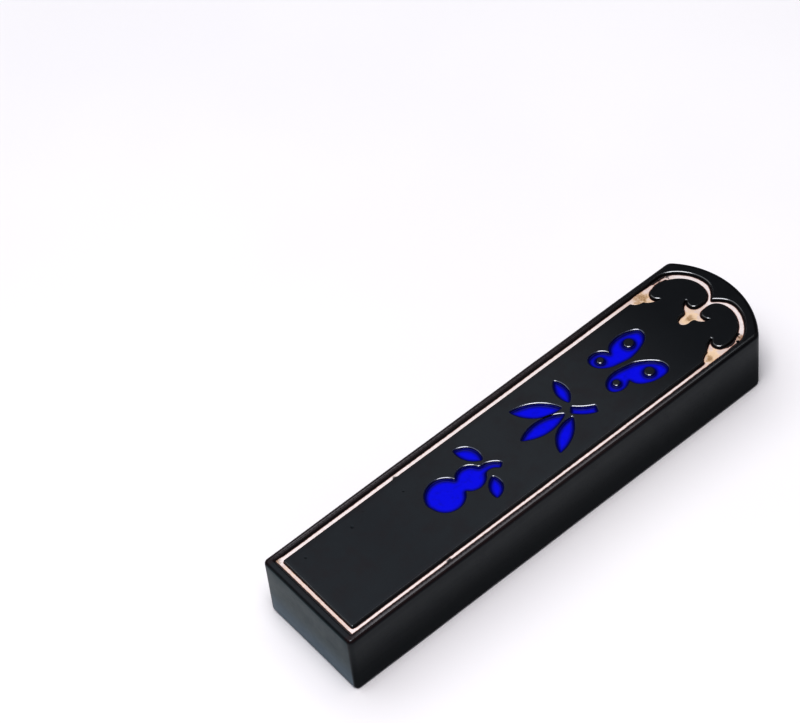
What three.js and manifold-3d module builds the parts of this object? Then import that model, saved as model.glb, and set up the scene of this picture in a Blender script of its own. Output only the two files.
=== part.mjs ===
// Moulded ink stick, lying on its back, with gilded and blue-coloured sunk work in its upper face.
//
// Millimetres. +X is to the reader's right, +Y runs from the squared tail to the arched head, +Z is up.
// The origin is in the middle of the underside, below the centre of the stick's box.
//
// The stick is one solid block. Its ornament is sunk by one depth everywhere, with a thin film of gilding or
// of blue pigment lying on the sunk floor. Each film is a piece of its own, a little smaller than its recess.

import * as THREE from 'three';
import { mergeVertices } from 'three/addons/utils/BufferGeometryUtils.js';
import Module from 'manifold-3d';

const wasm = await Module();
wasm.setup();

// ---------------------------------------------------------------- driving dimensions

// Block
const LENGTH = 100;
const WIDTH = 23.6;
const HEIGHT = 14.6;
const HEAD_RISE = 4.8; // how far the head's arc stands above its two shoulders
const EDGE_RADIUS = 0.75; // long edges of the upper and lower face
const TAIL_CORNER_RADIUS = 0.95; // upright edges of the tail
const SHOULDER_RADIUS = 1.6; // upright edges where the sides meet the head's arc
const EDGE_STEPS = 5;

// Sunk work
const SINK_DEPTH = 0.7;
const FILM_THICKNESS = 0.12;
const FILM_CLEARANCE = 0.05; // between a film's rim and the wall of its recess
const SHARPEST_SPREAD = 0.35; // least share of a corner's spread, so that a sharp tip isn't drawn far out
const CUTTER_OVERRUN = 1; // how far a cutter stands out of the upper face
const CURVE_STEPS = 8; // straight steps in each curve of an ornament's outline

// Gilded border, measured from the block's own edges
const SIDE_MARGIN = 1.27;
const TAIL_MARGIN = 1.42;
const LINE_WIDTH = 1.24;

// Head ornament, heights along the stick from its middle
const ARCH_SPRING = 41.5; // where the outer curve of each arch leaves the side line
const ARCH_PEAK = 47.15;
const ARCH_PEAK_X = 3.7;
const ARCH_WIDTH = 1.4;
const CUSP = 44.9; // point between the two arches
const STEM_HALF_WIDTH = 0.62;
const PENDANT_Y = 41.05; // bottom of the hollow above each horn of the middle pendant
const FINIAL_Y_RIGHT = 38.05; // the same hollow on the finials of the side lines
const FINIAL_Y_LEFT = 37.55;

// Break in the gilding at the shoulders, between the border film and the film of the arches
const GILT_BREAK_Y = 42.4;
const GILT_BREAK_GAP = 0.35;
const PENDANT_REACH = 4; // half width of the strip that belongs to the middle pendant
const PENDANT_END = 36;

// Middles of the three blue pictures
const BUTTERFLY_CENTRE = [0, 24.1];
const BUTTERFLY_TURN = -0.22;
const LEAVES_CENTRE = [0.1, 6.4];
const GOURD_CENTRE = [-0.3, -13.8];

const HALF_LENGTH = LENGTH / 2;
const HALF_WIDTH = WIDTH / 2;
const FLOOR = HEIGHT - SINK_DEPTH;

const LINE_OUTER = HALF_WIDTH - SIDE_MARGIN;
const LINE_INNER = LINE_OUTER - LINE_WIDTH;
const TAIL_OUTER = TAIL_MARGIN - HALF_LENGTH;
const TAIL_INNER = TAIL_OUTER + LINE_WIDTH;

// ---------------------------------------------------------------- materials

const inkMaterial = () => new THREE.MeshStandardMaterial({ color: 0x1f2124, roughness: 0.38, metalness: 0 });
const giltMaterial = () => new THREE.MeshStandardMaterial({ color: 0xecd6bf, roughness: 0.45, metalness: 0.6 });
const blueMaterial = () => new THREE.MeshStandardMaterial({ color: 0x0510d6, roughness: 0.55, metalness: 0 });

// ---------------------------------------------------------------- outlines

// Adds a circular arc from the path's last point to (x, y). The bulge is the tangent of a quarter of the arc's
// angle: positive when the arc swings to the right of the way there, so that it bulges out of a loop that
// runs counter-clockwise, and negative when it hollows the loop.
function arcTo(path, x, y, bulge) {
  const from = path.currentPoint.clone();
  const chord = new THREE.Vector2(x - from.x, y - from.y);
  const reach = (chord.length() * (1 - bulge * bulge)) / (4 * bulge);
  const side = new THREE.Vector2(-chord.y, chord.x).normalize();
  const centre = from.clone().addScaledVector(chord, 0.5).addScaledVector(side, reach);
  const startAngle = Math.atan2(from.y - centre.y, from.x - centre.x);
  const endAngle = Math.atan2(y - centre.y, x - centre.x);
  path.absarc(centre.x, centre.y, centre.distanceTo(from), startAngle, endAngle, bulge < 0);
}

// Follows strokes from a start point: [x, y] is straight, [x, y, bulge] an arc and six numbers a cubic curve.
function trace(start, strokes) {
  const path = new THREE.Path();
  path.moveTo(start[0], start[1]);
  for (const stroke of strokes) {
    if (stroke.length === 2) path.lineTo(...stroke);
    else if (stroke.length === 3) arcTo(path, ...stroke);
    else path.bezierCurveTo(...stroke);
  }
  return path.getPoints(CURVE_STEPS);
}

// Drops points that repeat their neighbour, the last one against the first too.
function closedLoop(points) {
  const nearest = 1e-4;
  return points.filter((point, i) => point.distanceTo(points[(i + 1) % points.length]) > nearest);
}

function moved(points, [x, y]) {
  return points.map((point) => new THREE.Vector2(point.x + x, point.y + y));
}

function turned(points, angle) {
  const middle = new THREE.Vector2();
  return points.map((point) => point.clone().rotateAround(middle, angle));
}

// The same points seen in a mirror on the stick's centre line, in the order that carries a loop on.
function mirrored(points) {
  return points.map((point) => new THREE.Vector2(-point.x, point.y)).reverse();
}

// Moves a loop's points square to its sides: inwards on a counter-clockwise loop by a positive distance.
function inset(points, distance) {
  return points.map((point, i) => {
    const before = points[(i + points.length - 1) % points.length];
    const after = points[(i + 1) % points.length];
    const arriving = point.clone().sub(before).normalize();
    const leaving = after.clone().sub(point).normalize();
    const across = arriving.clone().add(leaving).normalize();
    const normal = new THREE.Vector2(-across.y, across.x);
    const spread = across.dot(leaving);
    return point.clone().addScaledVector(normal, distance / Math.max(spread, SHARPEST_SPREAD));
  });
}

// Outline of the block: straight tail and sides, rounded corners and the head's arc.
function blockOutline() {
  const headRadius = (HALF_WIDTH ** 2 + HEAD_RISE ** 2) / (2 * HEAD_RISE);
  const headCentreY = HALF_LENGTH - headRadius;
  const shoulderX = HALF_WIDTH - SHOULDER_RADIUS;
  const shoulderY = headCentreY + Math.sqrt((headRadius - SHOULDER_RADIUS) ** 2 - shoulderX ** 2);
  const shoulderAngle = Math.atan2(shoulderY - headCentreY, shoulderX);
  const cornerX = HALF_WIDTH - TAIL_CORNER_RADIUS;
  const cornerY = TAIL_CORNER_RADIUS - HALF_LENGTH;
  const path = new THREE.Path();
  path.absarc(cornerX, cornerY, TAIL_CORNER_RADIUS, -Math.PI / 2, 0, false);
  path.absarc(shoulderX, shoulderY, SHOULDER_RADIUS, 0, shoulderAngle, false);
  path.absarc(0, headCentreY, headRadius, shoulderAngle, Math.PI - shoulderAngle, false);
  path.absarc(-shoulderX, shoulderY, SHOULDER_RADIUS, Math.PI - shoulderAngle, Math.PI, false);
  path.absarc(-cornerX, cornerY, TAIL_CORNER_RADIUS, Math.PI, 1.5 * Math.PI, false);
  return closedLoop(path.getPoints(CURVE_STEPS));
}

// Outer edge of the gilded line: tail, side and one arch up to the cusp, then the same on the other side.
function giltOuterLoop() {
  const half = trace(
    [0, TAIL_OUTER],
    [
      [LINE_OUTER, TAIL_OUTER],
      [LINE_OUTER, ARCH_SPRING],
      [LINE_OUTER, ARCH_SPRING + 2.6, ARCH_PEAK_X + 3.2, ARCH_PEAK, ARCH_PEAK_X, ARCH_PEAK],
      [ARCH_PEAK_X - 1.8, ARCH_PEAK, 0.7, CUSP + 0.8, 0, CUSP],
    ],
  );
  return closedLoop([...half, ...mirrored(half)]);
}

// Half of the field inside the gilded line, from the tail's middle to the pendant's foot: the side line, the
// half trefoil that grows out of it, the inside of the arch, the stem and half of the hanging trefoil.
function fieldHalf(finialY) {
  const x = LINE_INNER;
  const stem = STEM_HALF_WIDTH;
  const archInside = ARCH_PEAK - ARCH_WIDTH;
  return trace(
    [0, TAIL_INNER],
    [
      [x, TAIL_INNER],
      [x, finialY - 3.9],
      [x - 0.7, finialY - 3.75, x - 1.25, finialY - 2.9, x - 1.3, finialY - 1.9],
      [x - 1.9, finialY - 1.7, x - 2.6, finialY - 0.8, x - 2.95, finialY + 0.7],
      [x - 2.78, finialY + 0.82],
      [x - 2.3, finialY + 0.1, x - 1.8, finialY, x - 1.4, finialY],
      [x - 0.5, finialY, x, finialY + 0.9, x, finialY + 2.2],
      [x, ARCH_SPRING + 1.5, ARCH_PEAK_X + 2.9, archInside, ARCH_PEAK_X, archInside],
      [ARCH_PEAK_X - 1.8, archInside, stem, archInside - 1, stem, archInside - 2.5],
      [stem, PENDANT_Y + 1.3],
      [stem, PENDANT_Y + 0.5, stem + 0.5, PENDANT_Y, stem + 1.15, PENDANT_Y],
      [stem + 1.7, PENDANT_Y, stem + 2.1, PENDANT_Y + 0.15, stem + 2.4, PENDANT_Y + 0.5],
      [stem + 2.52, PENDANT_Y + 0.34],
      [stem + 2.3, PENDANT_Y - 0.75, stem + 1.6, PENDANT_Y - 1.45, stem + 0.75, PENDANT_Y - 1.55],
      [stem + 0.35, PENDANT_Y - 2, stem + 0.48, PENDANT_Y - 2.4, stem + 0.48, PENDANT_Y - 2.95],
      [stem + 0.48, PENDANT_Y - 3.6, stem, PENDANT_Y - 4.2, 0, PENDANT_Y - 4.2],
    ],
  );
}

function fieldLoop() {
  return closedLoop([...fieldHalf(FINIAL_Y_RIGHT), ...mirrored(fieldHalf(FINIAL_Y_LEFT))]);
}

// Leaf between two points, with the bulge of its right and of its left side.
function leaf(base, tip, right, left) {
  return trace(base, [[...tip, right], [...base, left]]);
}

// Round spot left standing in a wing.
function spot(x, y, radius) {
  const path = new THREE.Path();
  path.absarc(x, y, radius, 0, 2 * Math.PI, false);
  return closedLoop(path.getPoints(CURVE_STEPS));
}

// Right pair of a butterfly's wings: the lower wing, the notch beside it, the upper wing and the straight root.
const wingsLoop = () => trace([0.55, -2.2], [
  [1, -6.2, 4.7, -6.9, 4.8, -3.8],
  [4.8, -2.7, 4.3, -2, 3.5, -1.4],
  [5.6, -1.1, 6.5, 2, 5.7, 4.8],
  [5.3, 6.3, 3.6, 6.2, 2.5, 5],
  [1.6, 3.9, 0.8, 2.3, 0.55, 0.9],
]);

const twigLoop = () => trace([3, 7.5], [
  [2.2, 6.1, 1.4, 5.1, 0.3, 4.2],
  [1.3, 3.1],
  [2.7, 4.1, 3.7, 5.2, 4.4, 6.8],
]);

// Gourd: a large round body, a smaller one on it and a stalk that leans to the right.
function gourdLoop() {
  const body = { y: -4.3, radius: 3.55, openAngle: 1.14 };
  const crown = { y: 1.35, radius: 2.65, openAngle: 1.24 };
  const stalkFoot = -0.62;
  const path = new THREE.Path();
  const neckAngle = Math.acos((Math.cos(body.openAngle) * body.radius) / crown.radius);
  path.absarc(0, body.y, body.radius, -Math.PI / 2, body.openAngle, false);
  path.absarc(0, crown.y, crown.radius, -neckAngle, crown.openAngle, false);
  path.bezierCurveTo(0.75, 5.2, 1.1, 5.9, 2.1, 6.6);
  path.lineTo(1.3, 7.6);
  path.bezierCurveTo(0, 6.7, stalkFoot, 5.6, stalkFoot, 4.1);
  path.absarc(0, crown.y, crown.radius, Math.PI - crown.openAngle, Math.PI + neckAngle, false);
  path.absarc(0, body.y, body.radius, Math.PI - body.openAngle, 1.5 * Math.PI, false);
  return path.getPoints(CURVE_STEPS);
}

// ---------------------------------------------------------------- sunk patches

const wings = turned(wingsLoop(), BUTTERFLY_TURN);
const wingSpots = [spot(3.7, 2.6, 1), spot(2.9, -3.7, 0.72)];
const otherWings = turned(mirrored(wingsLoop()), BUTTERFLY_TURN);
// Each patch: the name of its film, the middle of its picture, its outline and any ink left standing in it.
const patches = [
  {
    name: 'blue_wings_right',
    centre: BUTTERFLY_CENTRE,
    loop: wings,
    islands: wingSpots.map((island) => turned(island, BUTTERFLY_TURN)),
  },
  {
    name: 'blue_wings_left',
    centre: BUTTERFLY_CENTRE,
    loop: otherWings,
    islands: wingSpots.map((island) => turned(mirrored(island), BUTTERFLY_TURN)),
  },
  { name: 'blue_twig', centre: LEAVES_CENTRE, loop: twigLoop() },
  { name: 'blue_leaf_small', centre: LEAVES_CENTRE, loop: leaf([-0.6, 4.5], [-6, 5.7], 0.44, 0.4) },
  { name: 'blue_leaf_left', centre: LEAVES_CENTRE, loop: leaf([-0.7, 2.8], [-6.3, -4.6], 0.3, 0.4) },
  { name: 'blue_leaf_middle', centre: LEAVES_CENTRE, loop: leaf([0.7, 2.3], [-0.2, -7.3], 0.34, 0.32) },
  { name: 'blue_leaf_right', centre: LEAVES_CENTRE, loop: leaf([2.1, 2.9], [6.5, -4], 0.42, 0.28) },
  { name: 'blue_gourd', centre: GOURD_CENTRE, loop: gourdLoop() },
  { name: 'blue_gourd_leaf_left', centre: GOURD_CENTRE, loop: leaf([-1.4, 5.4], [-6.4, 2.9], 0.6, 0.38) },
  { name: 'blue_gourd_leaf_right', centre: GOURD_CENTRE, loop: leaf([2.5, 4.4], [6.5, 1.9], 0.42, 0.62) },
];

// ---------------------------------------------------------------- solids

// Upright prism on a loop, with islands as through holes.
function prism(loop, islands, depth) {
  const shape = new THREE.Shape(loop);
  shape.holes = islands.map((island) => new THREE.Path(island));
  return new THREE.ExtrudeGeometry(shape, { depth, bevelEnabled: false });
}

function toManifold(geometry) {
  geometry.deleteAttribute('normal');
  geometry.deleteAttribute('uv');
  const merged = mergeVertices(geometry);
  return new wasm.Manifold(new wasm.Mesh({
    numProp: 3,
    vertProperties: new Float32Array(merged.attributes.position.array),
    triVerts: new Uint32Array(merged.index.array),
  }));
}

function toGeometry(manifold) {
  const mesh = manifold.getMesh();
  const geometry = new THREE.BufferGeometry();
  geometry.setAttribute('position', new THREE.BufferAttribute(mesh.vertProperties, 3));
  geometry.setIndex(new THREE.BufferAttribute(mesh.triVerts, 1));
  geometry.computeVertexNormals();
  return geometry;
}

// Recess with straight walls, standing out of the upper face so that it cuts it cleanly.
function cutter(loop, islands) {
  return toManifold(prism(loop, islands, SINK_DEPTH + CUTTER_OVERRUN).translate(0, 0, FLOOR));
}

// Film for a recess, drawn back from the walls and from any island.
function film(loop, islands) {
  const drawnBack = islands.map((island) => inset(island, -FILM_CLEARANCE));
  return prism(inset(loop, FILM_CLEARANCE), drawnBack, FILM_THICKNESS).translate(0, 0, FLOOR);
}

// Block with rounded long edges, before its ornament is sunk.
function blankBlock() {
  const blank = new THREE.ExtrudeGeometry(new THREE.Shape(blockOutline()), {
    depth: HEIGHT - 2 * EDGE_RADIUS,
    bevelEnabled: true,
    bevelThickness: EDGE_RADIUS,
    bevelSize: EDGE_RADIUS,
    bevelOffset: -EDGE_RADIUS,
    bevelSegments: EDGE_STEPS,
  });
  return toManifold(blank.translate(0, 0, EDGE_RADIUS));
}

// Upright box over a stretch of the upper face, to part one film from another.
function stretch(minX, maxX, minY, maxY) {
  const box = new THREE.BoxGeometry(maxX - minX, maxY - minY, 2 * HEIGHT);
  return toManifold(box.translate((minX + maxX) / 2, (minY + maxY) / 2, HEIGHT));
}

// The gilded line's film as one ring, parted at the shoulders.
function giltFilms(outer, field) {
  const ring = toManifold(film(outer, [field]));
  const regionOfArches = (gap) => {
    const aboveBreak = stretch(-WIDTH, WIDTH, GILT_BREAK_Y - gap, LENGTH);
    const reach = PENDANT_REACH + gap;
    return aboveBreak.add(stretch(-reach, reach, PENDANT_END - gap, LENGTH));
  };
  return {
    gilt_border: toGeometry(ring.subtract(regionOfArches(GILT_BREAK_GAP))),
    gilt_arches: toGeometry(ring.intersect(regionOfArches(0))),
  };
}

// ---------------------------------------------------------------- the stick

const stick = new THREE.Group();

function addPiece(name, geometry, material) {
  const mesh = new THREE.Mesh(geometry, material);
  mesh.name = name;
  stick.add(mesh);
}

const outer = giltOuterLoop();
const field = fieldLoop();

const placed = patches.map(({ name, centre, loop, islands = [] }) => ({
  name,
  loop: closedLoop(moved(loop, centre)),
  islands: islands.map((island) => closedLoop(moved(island, centre))),
}));

let block = blankBlock().subtract(cutter(outer, [field]));
for (const patch of placed) {
  block = block.subtract(cutter(patch.loop, patch.islands));
}
addPiece('ink_block', toGeometry(block), inkMaterial());

for (const [name, geometry] of Object.entries(giltFilms(outer, field))) {
  addPiece(name, geometry, giltMaterial());
}
for (const patch of placed) {
  addPiece(patch.name, film(patch.loop, patch.islands), blueMaterial());
}

export default stick;
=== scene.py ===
"""Fine meshes and finishes of a moulded ink stick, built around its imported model.

Outlines are drawn in millimetres in the plane of the upper face, x to the reader's right and y towards the
arched head, and become metres when they are made a mesh.
"""

import logging
import math
from dataclasses import dataclass, field
from enum import Enum
from typing import Callable, Sequence, Union

import bmesh
import bpy
from mathutils import Matrix, Vector, geometry, kdtree, noise


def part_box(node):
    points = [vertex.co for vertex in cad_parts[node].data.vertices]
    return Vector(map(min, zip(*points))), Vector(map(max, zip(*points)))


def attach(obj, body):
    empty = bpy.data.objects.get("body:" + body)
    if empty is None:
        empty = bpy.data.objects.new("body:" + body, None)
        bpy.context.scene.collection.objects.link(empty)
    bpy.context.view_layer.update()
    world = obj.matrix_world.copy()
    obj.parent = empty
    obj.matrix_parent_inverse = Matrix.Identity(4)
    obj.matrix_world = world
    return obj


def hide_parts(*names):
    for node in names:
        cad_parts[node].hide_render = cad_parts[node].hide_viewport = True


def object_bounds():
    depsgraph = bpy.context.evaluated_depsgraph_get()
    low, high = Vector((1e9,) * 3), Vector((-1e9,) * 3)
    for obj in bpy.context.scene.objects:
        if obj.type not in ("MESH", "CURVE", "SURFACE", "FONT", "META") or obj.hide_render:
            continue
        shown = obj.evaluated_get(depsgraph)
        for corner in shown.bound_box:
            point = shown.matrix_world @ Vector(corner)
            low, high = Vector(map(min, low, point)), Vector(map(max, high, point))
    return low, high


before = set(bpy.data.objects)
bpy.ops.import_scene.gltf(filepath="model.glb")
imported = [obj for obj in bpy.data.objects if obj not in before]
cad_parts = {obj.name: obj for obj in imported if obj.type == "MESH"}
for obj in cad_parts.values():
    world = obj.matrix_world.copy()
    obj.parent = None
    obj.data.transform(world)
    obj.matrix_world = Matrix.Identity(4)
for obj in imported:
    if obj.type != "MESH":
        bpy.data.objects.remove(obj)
CAD_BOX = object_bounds()

LOG = logging.getLogger("ink_stick")
MM = 0.001
TOLERANCE = 1e-5
DRYING_SEED = 7
WALL = "wall_distance"
WORN = "worn_edge"
WASH = "paint_wash"

Point = tuple[float, float]
Span = tuple[float, float]
Colour = tuple[float, float, float]
Way = tuple[float, float, float]
Operand = Union["Signal", float]
Tone = Union["Signal", Colour]


# ----------------------------------------------------------------------------------------- shader building


class Signal:
    """The value of a socket, so that shader maths reads as a Python expression."""

    def __init__(self, shader: "Shader", socket: bpy.types.NodeSocket) -> None:
        """Wrap an output socket in a shader's tree."""
        self.shader = shader
        self.socket = socket

    def maths(self, operation: str, *operands: Operand) -> "Signal":
        """Add a Math node on operands, in the order of its sockets, and return its result."""
        inputs = dict(enumerate(operands))
        return self.shader.node("ShaderNodeMath", {"operation": operation}, inputs)

    def __add__(self, other: Operand) -> "Signal":
        """Return the sum."""
        return self.maths("ADD", self, other)

    def __sub__(self, other: Operand) -> "Signal":
        """Return the difference."""
        return self.maths("SUBTRACT", self, other)

    def __rsub__(self, other: Operand) -> "Signal":
        """Return the difference from a number."""
        return self.maths("SUBTRACT", other, self)

    def __mul__(self, other: Operand) -> "Signal":
        """Return the product."""
        return self.maths("MULTIPLY", self, other)

    def __pow__(self, other: Operand) -> "Signal":
        """Return the power."""
        return self.maths("POWER", self, other)

    def __rpow__(self, other: Operand) -> "Signal":
        """Return a number raised to the value."""
        return self.maths("POWER", other, self)

    __radd__ = __add__
    __rmul__ = __mul__

    def size(self) -> "Signal":
        """Return the value without its sign."""
        return self.maths("ABSOLUTE", self)

    def most(self, other: Operand) -> "Signal":
        """Return the larger of the two values."""
        return self.maths("MAXIMUM", self, other)

    def least(self, other: Operand) -> "Signal":
        """Return the smaller of the two values."""
        return self.maths("MINIMUM", self, other)

    def rise(self, low: float, high: float) -> "Signal":
        """Return a soft step.

        Args:
            low: The value where the step starts, at 0.
            high: The value where it ends, at 1. Below low, the step falls.

        Returns:
            A value from 0 to 1.
        """
        settings = {"interpolation_type": "SMOOTHSTEP"}
        if low < high:
            return self.shader.node("ShaderNodeMapRange", settings, {0: self, 1: low, 2: high})
        return self.shader.node("ShaderNodeMapRange", settings, {0: self, 1: high, 2: low, 3: 1.0, 4: 0.0})


class Shader:
    """A material under construction, with a Principled BSDF at its end."""

    def __init__(self, name: str) -> None:
        """Start an empty material.

        Args:
            name: The material's name.
        """
        self.material = bpy.data.materials.new(name)
        self.material.use_nodes = True
        self.tree = self.material.node_tree
        self.tree.nodes.clear()
        self.surface = self.tree.nodes.new("ShaderNodeBsdfPrincipled")
        output = self.tree.nodes.new("ShaderNodeOutputMaterial")
        self.tree.links.new(self.surface.outputs["BSDF"], output.inputs["Surface"])

    def feed(self, node: bpy.types.Node, inputs: dict) -> None:
        """Set or link a node's sockets.

        Args:
            node: The node.
            inputs: Values or signals by socket name or number.
        """
        for key, value in inputs.items():
            socket = node.inputs[key]
            if isinstance(value, Signal):
                self.tree.links.new(value.socket, socket)
            else:
                socket.default_value = value

    def node(self, kind: str, settings: dict, inputs: dict, output: Union[str, int] = 0) -> Signal:
        """Add any node.

        Args:
            kind: The node's type.
            settings: Its properties, set before its sockets.
            inputs: Values or signals by socket name or number.
            output: The output socket to return.

        Returns:
            The chosen output.
        """
        node = self.tree.nodes.new(kind)
        for key, value in settings.items():
            setattr(node, key, value)
        self.feed(node, inputs)
        return Signal(self, node.outputs[output])

    def place(self, stretch: Way = (1.0, 1.0, 1.0), shift: Way = (0.0, 0.0, 0.0)) -> Signal:
        """Return a place on the piece in millimetres.

        Args:
            stretch: Scale along each axis, to draw a pattern out.
            shift: Added afterwards, to move one pattern clear of another.

        Returns:
            Object coordinates, scaled and moved.
        """
        scale = tuple(s / MM for s in stretch)
        objects = self.node("ShaderNodeTexCoord", {}, {}, "Object")
        inputs = {"Vector": objects, "Scale": scale, "Location": tuple(shift)}
        return self.node("ShaderNodeMapping", {}, inputs)

    def stored(self, name: str) -> Signal:
        """Return a number that the mesh stores at its vertices."""
        return self.node("ShaderNodeAttribute", {"attribute_name": name}, {}, "Fac")

    def axis(self, name: str) -> Signal:
        """Return the place along one axis, X, Y or Z, in millimetres."""
        return self.node("ShaderNodeSeparateXYZ", {}, {0: self.place()}, name)

    def cloud(
        self,
        size: float,
        stretch: Way = (1.0, 1.0, 1.0),
        detail: float = 2.0,
        roughness: float = 0.5,
        shift: Way = (0.0, 0.0, 0.0),
    ) -> Signal:
        """Return soft noise.

        Args:
            size: Size of its features, in millimetres.
            stretch: Scale along each axis, below 1 to draw the pattern out.
            detail: How many finer layers it has.
            roughness: How strong those layers are.
            shift: Offset of the pattern.

        Returns:
            A value from 0 to 1.
        """
        place = self.place(stretch, shift)
        inputs = {"Vector": place, "Scale": 1.0 / size, "Detail": detail, "Roughness": roughness}
        return self.node("ShaderNodeTexNoise", {}, inputs)

    def pits(self, spacing: float, radius: float) -> Signal:
        """Return 1 in scattered round pits, with their spacing in millimetres and radius in cells."""
        inputs = {"Vector": self.place(), "Scale": 1.0 / spacing}
        return self.node("ShaderNodeTexVoronoi", {}, inputs, "Distance").rise(radius, 0.2 * radius)

    def mix(self, factor: Operand, first: Tone, second: Tone) -> Signal:
        """Mix two colours.

        Args:
            factor: 0 for the first colour, 1 for the second.
            first: A colour.
            second: A colour.

        Returns:
            The mixed colour.
        """
        chosen = [c if isinstance(c, Signal) else (*c, 1.0) for c in (first, second)]
        inputs = {0: factor, 6: chosen[0], 7: chosen[1]}
        return self.node("ShaderNodeMix", {"data_type": "RGBA"}, inputs, 2)

    def layered(self, tone: Tone, *layers: tuple[Operand, Tone]) -> Signal:
        """Lay colours over one another.

        Args:
            tone: The lowest colour.
            *layers: How far each layer covers what lies under it, from 0 to 1, and its colour.

        Returns:
            The colour on top.
        """
        for cover, colour in layers:
            tone = self.mix(cover, tone, colour)
        return tone

    def relief(self, *layers: tuple[Signal, float]) -> Signal:
        """Return the normal of a bumpy surface.

        Args:
            *layers: The height of each relief, from 0 to 1, and what 1 stands for in millimetres.

        Returns:
            The normal of all of them, each on the one before.
        """
        under: dict[str, Signal] = {}
        for height, depth in layers:
            inputs = {"Height": height, "Distance": depth * MM, "Strength": 1.0, **under}
            under = {"Normal": self.node("ShaderNodeBump", {}, inputs)}
        return under["Normal"]


# ------------------------------------------------------------------------------------------------ finishes


@dataclass(frozen=True)
class Stain:
    """A round patch, in millimetres on the upper face."""

    x: float
    y: float
    radius: float

    def cover(self, shader: Shader, drift: Signal) -> Signal:
        """Draw the patch.

        Args:
            shader: The shader to draw it in.
            drift: Noise that makes its edge uneven.

        Returns:
            1 inside the patch and 0 outside.
        """
        across, along = shader.axis("X") - self.x, shader.axis("Y") - self.y
        distance = (across * across + along * along) ** 0.5 + (drift - 0.5) * 2.0 * self.radius
        return distance.rise(1.15 * self.radius, 0.25 * self.radius)


def patches(shader: Shader, stains: Sequence[Stain], drift: Signal) -> Signal:
    """Add up patches.

    Args:
        shader: The shader to draw them in.
        stains: The patches.
        drift: Noise that makes their edges uneven.

    Returns:
        1 inside any of the patches and 0 outside.
    """
    cover = stains[0].cover(shader, drift)
    for stain in stains[1:]:
        cover = cover.most(stain.cover(shader, drift))
    return cover


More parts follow.
